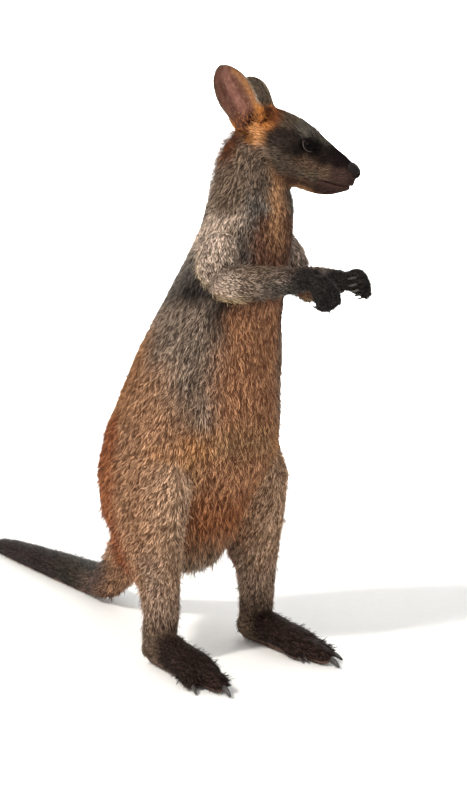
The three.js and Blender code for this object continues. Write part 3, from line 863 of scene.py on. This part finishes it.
# Fur of the ears: at each point its light and dark, its lie, length and lift, and how thick it stands.
earParts = []
for side in sides:
    s = earSettings
    u = (1 - np.cos(np.linspace(0, np.pi, s["rows"]))) / 2
    turn = np.linspace(0, 2, s["columns"], endpoint=False)
    uu, tt = np.meshgrid(u, turn, indexing="ij")
    vv = np.where(tt < 1, 2 * tt - 1, 3 - 2 * tt)
    wall = np.where(tt < 1, s["wall"], -s["wall"])
    local = earLeaf(side, uu, vv, wall).reshape(-1, 3)
    later = np.minimum(uu + 0.02, 0.999)
    onward = unit((earLeaf(side, later, vv, wall) - earLeaf(side, later - 0.02, vv, wall)).reshape(-1, 3))
    outwards = earLeaf(side, uu, np.clip(vv * 1.05, -1, 1), wall) - earLeaf(side, uu, vv * 0.95, wall)
    outwards = unit(outwards.reshape(-1, 3))
    points = fromHead(local)
    tri = outward(points, gridTriangles(s["rows"], s["columns"]))
    u, v, inside = uu.ravel(), vv.ravel(), (tt >= 1).ravel()
    extraPieces.append((points, tri, earColour(u, v, inside, local)))
    rim = smoothStep(0.78, 0.96, np.abs(v))
    front = smoothStep(0.35, 0.75, v) * smoothStep(0.9, 0.6, u)
    base = smoothStep(0.34, 0.18, u)
    back = ~inside
    lie = onward + 0.5 * np.abs(v)[:, None] * outwards * inside[:, None]
    light, dark = blended(back, "#584b3e", "#9c7d66"), blended(back, "#1a1410", "#5e3d33")
    for share, lightHex, darkHex in (
            (front * inside, "#c08a5c", "#75482c"), (rim, "#bfae99", "#6b5848"),
            (base, "#d98f4a", "#8a4a1e"), (smoothStep(0.2, 0.05, u), "#c27b3f", "#5e2f14")):
        light, dark = tinted(light, lightHex, share), tinted(dark, darkHex, share)
    start = sum(len(part["points"]) for part in earParts)
    earParts.append(dict(
        points=points, triangles=tri + start, lie=unit(lie) @ headTurned.T, light=light, dark=dark,
        length=np.where(back, 4.2 + 6 * base, 4.6 + 4 * base * front) - 1.2 * rim,
        lift=np.where(back, 12 + 10 * base, 15.0), want=np.where(back, 1.0, 0.1 + 0.5 * front + 0.5 * rim)))
earGround = {key: np.concatenate([part[key] for part in earParts]) for key in earParts[0]}
earGround["normals"] = vertexNormals(earGround["points"], earGround["triangles"])
earGround["owner"] = np.full(len(earGround["points"]), len(fleshNodes))


# Eyelids: a rolled rim that runs round the almond of the eye and spreads back into the face.
lidSettings = dict(halfLong=8.1, halfHigh=6.4, slant=-12, columns=64)
lidEdge = [(0.0, -0.5), (0.1, 0.35), (0.45, 0.85), (1.0, 0.95), (1.7, 0.7), (2.6, 0.2), (3.8, -0.7),
           (5.2, -2.0), (6.4, -3.6)]  # how far out from the almond each row is, and how high off the ball


def lidRing(side):
    # Turn f goes round the eye. Each row is a little further out from the middle of the almond, and its height
    # off the ball follows a rolled edge: up from the ball, over a crest and down under the skin.
    s = lidSettings
    f = np.linspace(0, 2 * np.pi, s["columns"], endpoint=False)
    c, n = np.cos(f), np.sin(f)
    corner = np.abs(c) ** 8
    outX = c * (s["halfLong"] + 1.3 * corner)
    outZ = n * np.abs(n) ** 0.15 * s["halfHigh"] * np.where(n > 0, 1.05, 0.92)
    aim = unit(np.array([1, 0.30, 0.06]))  # the way the eye looks: out, a little ahead and up
    forward = unit(np.array([0, 1, 0]) - aim[1] * aim)
    up = np.cross(aim, forward)
    slant = math.radians(s["slant"])
    cosine, sine = math.cos(slant), math.sin(slant)
    forward, up = cosine * forward + sine * up, cosine * up - sine * forward
    rings = []
    grow = np.hypot(outX, outZ)
    for widen, high in lidEdge:
        scale = (grow + widen) / grow
        ex, ez = outX * scale, outZ * scale
        reach = np.minimum(np.hypot(ex, ez) / eyePlace["radius"], 0.98)
        tilt = np.arcsin(reach)
        way = (np.cos(tilt)[:, None] * aim + np.sin(tilt)[:, None]
               * (ex[:, None] * forward + ez[:, None] * up) / np.hypot(ex, ez)[:, None])
        rings.append(way * (eyePlace["radius"] + high))
    return (np.array(rings) + eyeAt).reshape(-1, 3) * [1 if side == "left" else -1, -1, 1]


for side in sides:
    rows, columns = len(lidEdge), lidSettings["columns"]
    points = fromHead(lidRing(side))
    tri = outward(points - fromHead(eyeOn(side)), gridTriangles(rows, columns))
    row = np.repeat(np.arange(rows), columns)
    turn = np.tile(np.linspace(0, 2 * np.pi, columns, endpoint=False), rows)
    pale = (smoothStep(2.6, 1.6, row) * smoothStep(0.1, -0.5, np.sin(turn + 0.5)))[:, None]
    extraPieces.append((points, tri, pale * toLinear("#544846") + (1 - pale) * toLinear("#0c0908")))

# Colours of the skin: the dark underfur with painted shade deep in the coat, darkest under long hair.
underfurWithShade = 0.42 * lightAt + 0.58 * darkAt
shortHair = smoothStep(7, 3, coatLength)[:, None]
skinColours = underfurWithShade * (0.55 + 0.3 * shortHair)
lipsBare = onHead * smoothStep(84, 92, ahead) * bump(upward - lipMiddle(ahead), 4.5)
# the slit of the mouth is painted near black: painted shade in the groove between the lips
mouthSlitShade = onHead * smoothStep(80, 88, ahead) * bump(upward - mouthLine(ahead), 1.3)
skinColours = tinted(skinColours, "#49342f", lipsBare * 0.9)
skinColours = tinted(skinColours, "#0c0808", mouthSlitShade * 0.85)
skinColours[(skinNormals[:, 2] < -0.6) & (body[:, 2] < 9)] = toLinear("#6d5448")  # the bare soles

skinParts = [(skinPoints, skinTriangles, skinColours)]
start = len(skinPoints)
for points, tri, colour in extraPieces:
    skinParts.append((points, tri + start, colour))
    start += len(points)
allPoints, allTriangles, allColours = (np.concatenate(part) for part in zip(*skinParts))
skin = makeMesh("skin", allPoints, allTriangles, skinLook, allColours)
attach(skin, "root")
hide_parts(*fleshNodes, "ear_left", "ear_right")
print("skin piece:", len(skin.data.polygons))


# Eyes.
# inset and swell in millimetres; pupil, iris and cornea in radians from where the eye looks
eyeSettings = dict(rows=40, columns=56, pupil=0.36, iris=0.86, inset=0.15, swell=0.6, cornea=0.62)
for side in sides:
    # A ball a little under the radius, whose front, the cornea, swells by 0.6 mm within 35 degrees of the aim.
    s = eyeSettings
    lat, lon = np.meshgrid(np.linspace(0, np.pi, s["rows"]),
                           np.linspace(0, 2 * np.pi, s["columns"], endpoint=False), indexing="ij")
    aim = unit(np.array([1 if side == "left" else -1, -0.30, 0.06]))
    across = unit(np.cross(aim, [0, 0, 1]))
    up = np.cross(across, aim)
    radius = eyePlace["radius"] - s["inset"] + s["swell"] * np.exp(-((lat / s["cornea"]) ** 4))
    local = (np.cos(lat)[..., None] * aim + np.sin(lat)[..., None] * (
        np.cos(lon)[..., None] * across + np.sin(lon)[..., None] * up)) * radius[..., None]
    points, tri = merged(fromHead(local.reshape(-1, 3) + eyeOn(side)), gridTriangles(s["rows"], s["columns"]))
    tri = outward(points - points.mean(0), tri)
    off = np.arccos(np.clip(unit(toHead(points) - eyeOn(side)) @ aim, -1, 1))
    iris = blended(off < s["iris"], "#0d0705", "#1a1210")
    colour = np.where((off < s["pupil"])[:, None], toLinear("#030202"), iris)
    eye = makeMesh(f"eyeball_{side}", points, tri, eyeLook, colour)
    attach(eye, "root")
    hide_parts(f"eye_{side}")

# Nose leather.
# millimetres; hole, slit and groove are depths, and the wing beside the nostril is a swell
noseSettings = dict(rows=72, columns=96, back=100, long=22, halfWide=11.9, halfHigh=9.3, rise=7.4, fall=4.6,
                    hole=3.8, slit=2.2, groove=1.0, wing=0.9)


def noseShape():
    # A round-ended pad along the muzzle: rings from its back to its tip, wider than high, dented on each side
    # by a comma-shaped nostril and parted in the middle below.
    s = noseSettings
    t, f = np.meshgrid(np.linspace(0, 1, s["rows"]), np.linspace(0, 2 * np.pi, s["columns"], endpoint=False),
                       indexing="ij")
    swell = np.where(t < 0.4, np.sqrt(1 - (1 - np.minimum(1, t / 0.4)) ** 2.5),
                     np.sqrt(np.clip(1 - np.clip((t - 0.4) / 0.6, 0, 1) ** 2.4, 0, 1)))
    wide = s["halfWide"] * swell * (1 - 0.12 * t)
    high = s["halfHigh"] * swell
    a = s["back"] + s["long"] * t
    x = wide * np.sign(np.cos(f)) * np.abs(np.cos(f)) ** 0.85
    x *= 1 - 0.16 * smoothStep(0, -1, np.sin(f))
    u = s["rise"] - s["fall"] * t + high * np.sign(np.sin(f)) * np.abs(np.sin(f)) ** 0.9
    local = np.stack([x, -a, u], -1).reshape(-1, 3)
    normal = unit(np.stack([x / 10, -(a - 113) / 9.5, (u - 3) / 8.6], -1).reshape(-1, 3))
    xa, up, front = np.abs(local[:, 0]), local[:, 2], -local[:, 1]
    hole = np.exp(-(((xa - 5.4) / 1.9) ** 2 + ((up - 3.2) / 2.2) ** 2)) * smoothStep(113, 117, front)
    slit = np.exp(-(((xa - 8.0) / 2.0) ** 2 + ((up - 0.6 - 0.5 * (xa - 8)) / 1.1) ** 2))
    slit *= smoothStep(109, 113, front)
    groove = np.exp(-((xa / 0.7) ** 2)) * smoothStep(3, -1, up) * smoothStep(110, 116, front)
    dent = s["hole"] * hole + s["slit"] * slit + s["groove"] * groove
    wing = s["wing"] * np.exp(-(((xa - 7.4) / 1.6) ** 2 + ((up - 5.6) / 1.8) ** 2))
    wing *= smoothStep(110, 114, front)
    local += normal * (wing - dent)[:, None]
    # the nostrils and the slits beside them are painted near black: painted shade in their hollows
    shade = np.clip(hole + slit, 0, 1)[:, None]
    colour = toLinear("#1d1817")[None] * (1 - shade) + toLinear("#020202") * shade
    return local, colour


local, colour = noseShape()
points = fromHead(local)
tri = outward(points - points.mean(0), gridTriangles(noseSettings["rows"], noseSettings["columns"]))
nose = makeMesh("nose_pad", points, tri, noseLook, colour)
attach(nose, "root")
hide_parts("nose")

# Claws: the CAD forms with their corners rounded off.
clawSettings = dict(rootDepth=0.004, pull=(0.35, 0.9))


# A claw grows out of the flesh: its root is drawn back along the claw's own line by rootDepth, and the share of
# the pull rises smoothly from part way along to the root. The tip is taken to be the point farthest from the
# claw's middle. On the two fifth toes that point lies in the root, so there the tip is drawn out instead, and
# those two roots stay off the skin.
def rootedInFlesh(points):
    tip = points[np.linalg.norm(points - points.mean(0), axis=1).argmax()]
    share = np.linalg.norm(points - tip, axis=1)
    share = share / share.max()
    back = points[share > 0.8].mean(0) - points[(share > 0.2) & (share < 0.8)].mean(0)
    back = back / np.linalg.norm(back)
    return points + clawSettings["rootDepth"] * back * smoothStep(*clawSettings["pull"], share)[:, None]


for name in sorted(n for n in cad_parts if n.startswith("claw_")):
    points, tri = merged(*readMesh(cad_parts[name].data))
    piece = makeMesh(f"{name}_horn", rootedInFlesh(points), tri, clawLook)
    rounding = piece.modifiers.new("rounding", "SUBSURF")
    rounding.levels = rounding.render_levels = 2
    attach(piece, "root")
    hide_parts(name)
print("eyes, nose and claws made")

# Coat.
coatSettings = dict(
    bodyTufts=203000, faceTufts=48000, earTufts=21000, layers=7, faceLayers=1, earLayers=1,
    darkShare=0.34, strayShare=0.09, lockSize=11.0, lockPull=0.75, clump=0.34, jitter=0.20, roundness=0.6,
    sunk=0.0005, patch=0.003,  # metres that a foot lies under the skin; side of a tuft's patch of the map
    wide=0.5, ridge=0.3, fineRidge=0.35, bendAt=0.45,  # of a tuft's width, and of its length
    flows=(26, 9), warps=(3.5, 1.5),  # millimetres: the swells in the lie, and how far they warp the locks
    # lockLight and the fall-off after it: painted light in the middle of each lock and painted shade at its
    # edge
    lockLight=1.16, partingShade=0.55, strayLength=1.45, strayLift=1.9, sizes=(0.75, 1.15), curls=(4, 22),
    widthAt=((2.5, 6, 12, 18), (0.5, 0.68, 0.88, 1.05)),  # millimetres wide for millimetres long
)


def sample(points, triangles, want, count):  # points spread over the surface as `want` asks of each place
    a, b, c = (points[triangles[:, k]] for k in range(3))
    area = np.linalg.norm(np.cross(b - a, c - a), axis=1) / 2
    share = area * want[triangles].mean(1)
    pick = np.searchsorted(np.cumsum(share) / share.sum(), random.random(count))
    r, s = random.random((2, count))
    flip = r + s > 1
    r[flip], s[flip] = 1 - r[flip], 1 - s[flip]
    return triangles[pick], np.stack([1 - r - s, r, s], 1)


def mixAt(values, corners, weights):
    values = values.reshape(len(values), -1)
    return (values[corners] * weights[..., None]).sum(1)


def tuftMesh(root, normal, lie, length, width, lift, curl, colours, fine):
    # A tuft is a closed blade on a bent line: from its foot under the skin it rises at the lift angle, then
    # leans back towards the body by the curl and runs out to a point. Its middle has three corners, left,
    # right and outward. Fine tufts are straight: a three-cornered foot and a point.
    side = unit(np.cross(lie, normal))
    first, second = (np.cos(angle)[:, None] * lie + np.sin(angle)[:, None] * normal
                     for angle in (lift, lift - curl))
    over = unit(np.cross(side, first))
    over *= np.sign((over * normal).sum(1, keepdims=True))
    w, far = width[:, None], length[:, None]
    low = root - normal * coatSettings["sunk"]
    half = side * w * coatSettings["wide"]
    if fine:
        rows = [low + half, low - half, low + over * w * coatSettings["fineRidge"], root + first * far]
        own = [side, -side, over, 0 * side]
        faces = [(0, 1, 3), (1, 2, 3), (2, 0, 3), (0, 2, 1)]
        parts = (0, 0, 0, 2)
    else:
        bendAt = coatSettings["bendAt"]
        middle = root + first * far * bendAt
        rows = [low, middle + half, middle - half, middle + over * w * coatSettings["ridge"],
                middle + second * far * (1 - bendAt)]
        own = [0 * side, side, -side, over, 0 * side]
        faces = [(0, 1, 3), (0, 3, 2), (0, 2, 1), (4, 3, 1), (4, 2, 3), (4, 1, 2)]
        parts = (0, 1, 1, 1, 2)
    points = np.stack(rows, 1)
    shading = unit(normal[:, None] + coatSettings["roundness"] * np.stack(own, 1))
    faces = outward(points[0] - points[0].mean(0), np.array(faces))
    triangles = np.arange(len(points))[:, None, None] * len(rows) + faces
    return [values.reshape(-1, 3) for values in (points, triangles, colours[:, parts], shading)]


def bakeMap(piece, place, corners):
    # Each tuft has its own small patch at its root's place on the unwrapped skin.
    uv = piece.data.uv_layers.new(name="OFBake")
    across = np.array(corners, float) * coatSettings["patch"]
    index = np.empty(len(piece.data.loops), np.int32)
    piece.data.loops.foreach_get("vertex_index", index)
    spots = place[index // len(corners)] + across[index % len(corners)]
    uv.data.foreach_set("uv", spots.astype(np.float32).ravel())


# The skin is unwrapped in strips: one for each region, as wide as its share of the tufts, with the turn round
# the region's own axis across the strip and the distance along it up the strip.
def unwrapped(points, owner, margin=0.004, filled=0.985):
    b = inBody(points)
    u, v = np.zeros(len(b)), np.zeros(len(b))
    left = margin
    for index in range(len(fleshNodes) + 1):  # the last one is the ears
        m = owner == index
        if not m.any():
            continue
        share = m.sum() / len(b)
        q = b[m] - b[m].mean(0)
        f = q @ np.linalg.eigh(q.T @ q)[1][:, ::-1]
        turn = np.arctan2(f[:, 2], f[:, 1])
        u[m] = left + np.argsort(np.argsort(turn)) / len(q) * share * filled
        v[m] = margin + np.argsort(np.argsort(f[:, 0])) / len(q) * filled
        left += share * filled
    return np.stack([u, v], 1)


# millimetres; the nose leather is a ball round its middle, a little wider than high
bare = dict(sole=12, roundLid=(2.0, 1.8), lipsFrom=88, lipsHalf=2.6, lipsOut=25, noseFrom=106,
            noseMiddle=(0, 113, 4.5), noseStretch=(1.15, 1, 1), noseRadius=10.5)


def mayGrow(b, normal):  # no tuft grows on a sole, an eye, the slit of the mouth or the nose leather
    local = outAheadUp(inHead(b))
    off = local - eyeAt
    almond = np.hypot(off[:, 1] / (lidSettings["halfLong"] + bare["roundLid"][0]),
                      off[:, 2] / (lidSettings["halfHigh"] + bare["roundLid"][1]))
    keep = ~((normal[:, 2] < -0.45) & (b[:, 2] < bare["sole"]))
    keep &= (almond > 1) | (local[:, 0] < 12) | (np.linalg.norm(off, axis=1) > 20)
    slit = np.abs(local[:, 2] - lipMiddle(local[:, 1])) < bare["lipsHalf"]
    keep &= ~((local[:, 1] > bare["lipsFrom"]) & slit & (local[:, 0] < bare["lipsOut"]))
    fromNose = np.linalg.norm((local - bare["noseMiddle"]) / bare["noseStretch"], axis=1)
    return keep & ~((local[:, 1] > bare["noseFrom"]) & (fromNose < bare["noseRadius"]))


def tuftColours(light, dark, isDark, fine):  # at foot, middle and tip; a dark hair has no light band
    foot = dark * 0.45 + light * 0.04
    mid = np.where(isDark[:, None], dark * 0.6, light * 0.5 + dark * 0.3)
    tip = np.where(isDark[:, None], dark * 0.5 + light * 0.04, light * (1.9 if fine else 1.75))
    return np.stack([foot, mid, tip], 1)


def growCoat(name, ground, want, count, fine, layers):
    s = coatSettings
    chosen, weights = sample(ground["points"], ground["triangles"], want, count)
    keys = ("points", "normals", "lie", "length", "lift", "light", "dark")
    root, normal, lie, length, lift, light, dark = (mixAt(ground[key], chosen, weights) for key in keys)
    normal, length, lift = unit(normal), length[:, 0], lift[:, 0]
    b = inBody(root)
    flow = np.stack([wave(b, s["flows"][0], seed) for seed in (11, 12, 13)], 1)
    fineFlow = np.stack([wave(b, s["flows"][1], seed) for seed in (14, 15, 16)], 1)
    lie = unit(lie) + s["clump"] * (0.5 * flow + 0.5 * fineFlow)
    lie += s["jitter"] * random.normal(size=(count, 3))
    # the tufts of each warped cell, lockSize across, lean to its middle and are painted darker towards its edge
    # and lighter in its middle: painted shade in the partings between locks
    lockSize = s["lockSize"] * np.clip(length / 12, 0.45, 1.3)[:, None]
    warped = (b + s["warps"][0] * flow + s["warps"][1] * fineFlow) / lockSize
    toMiddle = np.floor(warped) + 0.5 - warped
    toMiddle -= (toMiddle * normal).sum(1, keepdims=True) * normal
    lie += s["lockPull"] * toMiddle
    lockShade = s["lockLight"] - s["partingShade"] * np.linalg.norm(toMiddle, axis=1, keepdims=True)
    lie = unit(lie - (lie * normal).sum(1, keepdims=True) * normal)
    stray = random.random(count) < s["strayShare"] * smoothStep(2.5, 6, length)
    size = random.uniform(*s["sizes"], count) * np.where(stray, s["strayLength"], 1)
    length = length * size / 1000
    lift = lift * (1 + 0.35 * random.normal(size=count) + 0.3 * wave(b, 14, 21))
    lift = np.clip(np.radians(lift * np.where(stray, s["strayLift"], 1)), 0.05, 1.0)
    curl = np.radians(random.uniform(*s["curls"], count))
    width = np.interp(length * 1000, *s["widthAt"])
    width = width * random.uniform(0.75, 1.25, count) / 1000
    isDark = random.random(count) < s["darkShare"]
    tone = random.uniform(0.45, 1.55, (count, 1)) * (1 + 0.16 * wave(b, 30, 31))[:, None]
    colours = tuftColours(light * tone * lockShade, dark * lockShade, isDark, fine)
    kept = np.nonzero(mayGrow(b, normal))[0]
    layer = random.integers(0, layers, len(kept))
    place = unwrapped(root, ground["owner"][chosen[:, 0]])
    corners = [(0, 0), (1, 0), (0.5, 0.1), (0.5, 1)] if fine else [
        (0.5, 0), (0, 0.45), (1, 0.45), (0.5, 0.5), (0.5, 1)]
    for k in range(layers):
        i = kept[layer == k]
        p, t, c, n = tuftMesh(*(v[i] for v in (root, normal, lie, length, width, lift, curl, colours)), fine)
        p[:, 2] = np.maximum(p[:, 2], 0.0003 + 0.0004 * random.random(len(p)))
        piece = makeMesh(f"{name}_{k + 1}", p, t, furLook, c, n)
        bakeMap(piece, place[i], corners)
        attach(piece, "root")
        print(piece.name, len(t), "triangles")


bodyGround = dict(points=skinPoints, triangles=skinTriangles, normals=skinNormals, lie=coatLie,
                  length=coatLength, lift=coatLift, light=lightAt, dark=darkAt, owner=skinOwner)
bodyWant = np.where(onHead & (ahead > -22), 0.0, 1.0) * (15 / np.maximum(coatLength, 5)) ** 1.3
growCoat("coat", bodyGround, bodyWant, coatSettings["bodyTufts"], False, coatSettings["layers"])
faceWant = np.where(onHead & (ahead > -30), 1.0, 0.0) * (5 / np.maximum(coatLength, 2.5)) ** 1.2
growCoat("face_coat", bodyGround, faceWant, coatSettings["faceTufts"], True, coatSettings["faceLayers"])
earWant = earGround["want"]
growCoat("ear_coat", earGround, earWant, coatSettings["earTufts"], True, coatSettings["earLayers"])


# Floor and light.
floorSettings = dict(reach=9.0, bend=3.2, round=1.6, height=6.0)
forward, rightward = np.array([0.6157, 0.7880, 0]), np.array([0.7880, -0.6157, 0])  # as the camera looks


def makeStage():
    # A floor that curves up into a backdrop: a profile of floor, quarter circle and wall carried sideways.
    s = floorSettings
    bend = [(s["bend"] + s["round"] * math.sin(q), s["round"] - s["round"] * math.cos(q))
            for q in np.linspace(0, np.pi / 2, 24)]
    profile = [(-s["reach"], 0)] + bend + [(s["bend"] + s["round"], s["height"])]
    across = np.linspace(-s["reach"], s["reach"], 8)
    points = [[*(forward[:2] * a + rightward[:2] * w), z] for a, z in profile for w in across]
    return makeMesh("studio_floor", points, gridFaces(len(profile), len(across), False), floorMaterial())


# Seamless paper: matt and white, a touch of tooth in it.
def floorMaterial():
    material, tree, shader = newMaterial("seamless_paper", Roughness=0.9, Specular_IOR_Level=0.1)
    twoTone(tree, shader, noise(tree, placeIn(tree), 60.0, 2.0), (0, "#f2f2f0"), (1, "#f8f8f6"))
    return material


makeStage()


def lookAt(thing, target):
    thing.rotation_euler = (Vector(target) - thing.location).to_track_quat("-Z", "Y").to_euler()


def areaLight(name, place, target, size, power, colour="#ffffff"):
    light = bpy.data.lights.new(name, "AREA")
    light.shape = "DISK"
    light.size = size
    light.energy = power
    light.color = toLinear(colour)
    thing = bpy.data.objects.new(name, light)
    thing.location = place
    bpy.context.scene.collection.objects.link(thing)
    lookAt(thing, target)
    return thing


# the key stands to the left of the camera's view, high; the fill is broad and behind the camera
lightSettings = dict(key=135.0, fill=6.0, backdrop=380.0, world=0.73)
keyPlace = -1.95 * rightward - 2.1 * forward + [0, 0, 3.1]
areaLight("key_light", keyPlace, (0, -0.1, 0.3), 0.45, lightSettings["key"], "#fffaf2")
areaLight("fill_light", -3.4 * forward + 0.8 * rightward + [0, 0, 1.6], (0, -0.1, 0.45), 2.4,
          lightSettings["fill"])
wash = areaLight("backdrop_light", 1.6 * forward + [0, 0, 3.4], 4.2 * forward + [0, 0, 0.4], 2.4,
                 lightSettings["backdrop"])
wash.data.spread = math.radians(100)
world = bpy.data.worlds.new("studio")
world.use_nodes = True
background = world.node_tree.nodes["Background"]
background.inputs["Color"].default_value = colourOf("#ffffff")
background.inputs["Strength"].default_value = lightSettings["world"]
bpy.context.scene.world = world
bpy.context.scene.view_settings.view_transform = "Standard"
bpy.context.scene.view_settings.look = "None"

# Camera.
cameraSettings = dict(place=(-1992.4, -2629.1, 830), lens=106.65, drop=0.43 / 3.0)  # place in body millimetres
cameraData = bpy.data.cameras.new("camera")
cameraData.lens = cameraSettings["lens"]
cameraData.sensor_width = cameraData.sensor_height = 36.0
cameraData.sensor_fit = "AUTO"
camera = bpy.data.objects.new("camera", cameraData)
camera.location = onBody(cameraSettings["place"])
bpy.context.scene.collection.objects.link(camera)
lookAt(camera, camera.location + Vector((forward[0], forward[1], -cameraSettings["drop"])))
bpy.context.scene.camera = camera
